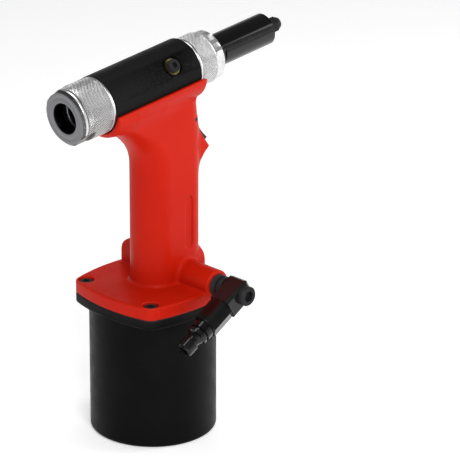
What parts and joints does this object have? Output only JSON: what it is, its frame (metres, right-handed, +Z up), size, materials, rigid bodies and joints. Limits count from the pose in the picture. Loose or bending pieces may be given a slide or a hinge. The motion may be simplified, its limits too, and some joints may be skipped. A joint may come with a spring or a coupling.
{
  "type": "air-hydraulic rivet gun",
  "caption": "Upright air-hydraulic rivet gun: black air cylinder foot, red pistol-like handle with trigger and air swivel, tilted black barrel with knurled cap and nut and a long nose.",
  "frame": {"origin": "centre of the air cylinder's bottom face, which stands on the floor", "axes": "+Z up along the air cylinder and handle; +X towards the nose (the barrel is tilted nose-up 6.6 degrees about Y); the air inlet is on the -Y side"},
  "size_m": [0.2284, 0.1366, 0.3136],
  "materials": {
    "black_paint": "satin black coating",
    "red_paint": "satin red paint",
    "black_coat": "fine textured black coating",
    "gloss_black": "gloss black enamel",
    "knurled_aluminium": "knurled, with turned chamfers",
    "cast_aluminium": "machined",
    "ground_steel": "ground and polished",
    "dark_steel": "black oxide",
    "spring_steel": "drawn wire",
    "bearing_bronze": "turned bronze",
    "brass_washer": "dull brass",
    "seal_rubber": "black nitrile",
    "buffer_rubber": "black polyurethane"
  },
  "bodies": {
    "gun": {"handle": "red_paint", "air_cylinder": "black_paint", "base_gasket": "seal_rubber", "base_screws": "dark_steel", "bottom_buffer": "buffer_rubber", "rod_gland": "bearing_bronze", "rod_seals": "seal_rubber", "transfer_tube": "ground_steel", "hydraulic_tube": "ground_steel", "trigger_pin": "ground_steel", "pilot_bush": "bearing_bronze", "pilot_spring": "spring_steel", "valve_sleeve": "cast_aluminium", "spool_spring": "spring_steel", "valve_cap": "dark_steel", "inlet_collar": "dark_steel", "swivel_bolt": "dark_steel", "barrel": "black_coat", "bleed_washer": "brass_washer", "bleed_screw": "dark_steel", "return_spring": "spring_steel", "front_gland": "bearing_bronze", "front_seals": "seal_rubber", "rear_cap": "knurled_aluminium", "cap_seal": "seal_rubber", "front_lock_nut": "knurled_aluminium", "nose_housing": "gloss_black", "nosepiece": "dark_steel"},
    "ram": {"air_piston": "cast_aluminium", "piston_seal": "seal_rubber", "piston_nut": "dark_steel", "ram_rod": "ground_steel", "transfer_seal": "seal_rubber"},
    "pull_rod": {"pull_piston": "ground_steel", "pull_seal": "seal_rubber", "mandrel_tube": "ground_steel", "rod_lock_nut": "dark_steel", "jaw_case": "ground_steel", "jaw_spring": "spring_steel"},
    "pusher": {"jaw_pusher": "ground_steel"},
    "jaw_a": {"jaw_1": "dark_steel"},
    "jaw_b": {"jaw_2": "dark_steel"},
    "jaw_c": {"jaw_3": "dark_steel"},
    "trigger_lever": {"trigger": "dark_steel"},
    "pilot_valve": {"pilot_stem": "ground_steel"},
    "main_valve": {"valve_spool": "ground_steel", "spool_seals": "seal_rubber"},
    "inlet_swivel": {"swivel_block": "gloss_black", "swivel_seals": "seal_rubber", "air_plug": "gloss_black"}
  },
  "joints": [
    {"name": "ram_slide", "type": "slide", "parent": "gun", "child": "ram", "axis": [0, 0, 1], "range_m": [0, 0.07]},
    {"name": "pull_slide", "type": "slide", "parent": "gun", "child": "pull_rod", "axis": [-0.9934, 0, -0.1149], "range_m": [0, 0.0196], "stiffness_N_per_m": 2500, "springref_m": -0.012, "deforming": ["return_spring"]},
    {"name": "pusher_slide", "type": "slide", "parent": "pull_rod", "child": "pusher", "axis": [0.9934, 0, 0.1149], "range_m": [0, 0.0029], "deforming": ["jaw_spring"]},
    {"name": "trigger_pivot", "type": "hinge", "parent": "gun", "child": "trigger_lever", "pos_m": [0.0305, 0, 0.2515], "axis": [0, 1, 0], "range_deg": [0, 9], "stiffness_Nm_per_rad": 0.5, "springref_deg": -11.46},
    {"name": "pilot_slide", "type": "slide", "parent": "gun", "child": "pilot_valve", "axis": [-1, 0, 0], "range_m": [0, 0.0031], "deforming": ["pilot_spring"]},
    {"name": "spool_slide", "type": "slide", "parent": "gun", "child": "main_valve", "axis": [0, 1, 0], "range_m": [0, 0.006], "deforming": ["spool_spring"]},
    {"name": "swivel_turn", "type": "hinge", "parent": "gun", "child": "inlet_swivel", "pos_m": [0.02, -0.0723, 0.1273], "axis": [0, -1, 0], "continuous": true},
    {"name": "jaw_a_slide", "type": "slide", "parent": "pull_rod", "child": "jaw_a", "axis": [0.9478, 0, 0.319], "range_m": [0, 0.003]},
    {"name": "jaw_b_slide", "type": "slide", "parent": "pull_rod", "child": "jaw_b", "axis": [0.9836, -0.1801, 0.0092], "range_m": [0, 0.003]},
    {"name": "jaw_c_slide", "type": "slide", "parent": "pull_rod", "child": "jaw_c", "axis": [0.9836, 0.1801, 0.0092], "range_m": [0, 0.003]}
  ],
  "couplings": [
    {"joint": "pull_slide", "follows": "ram_slide", "ratio": 0.28},
    {"joint": "pusher_slide", "follows": "ram_slide", "ratio": 0.041429},
    {"joint": "pilot_slide", "follows": "trigger_pivot", "m_per_rad": 0.019735},
    {"joint": "spool_slide", "follows": "trigger_pivot", "m_per_rad": 0.038197},
    {"joint": "jaw_a_slide", "follows": "ram_slide", "ratio": 0.042857},
    {"joint": "jaw_b_slide", "follows": "ram_slide", "ratio": 0.042857},
    {"joint": "jaw_c_slide", "follows": "ram_slide", "ratio": 0.042857}
  ]
}
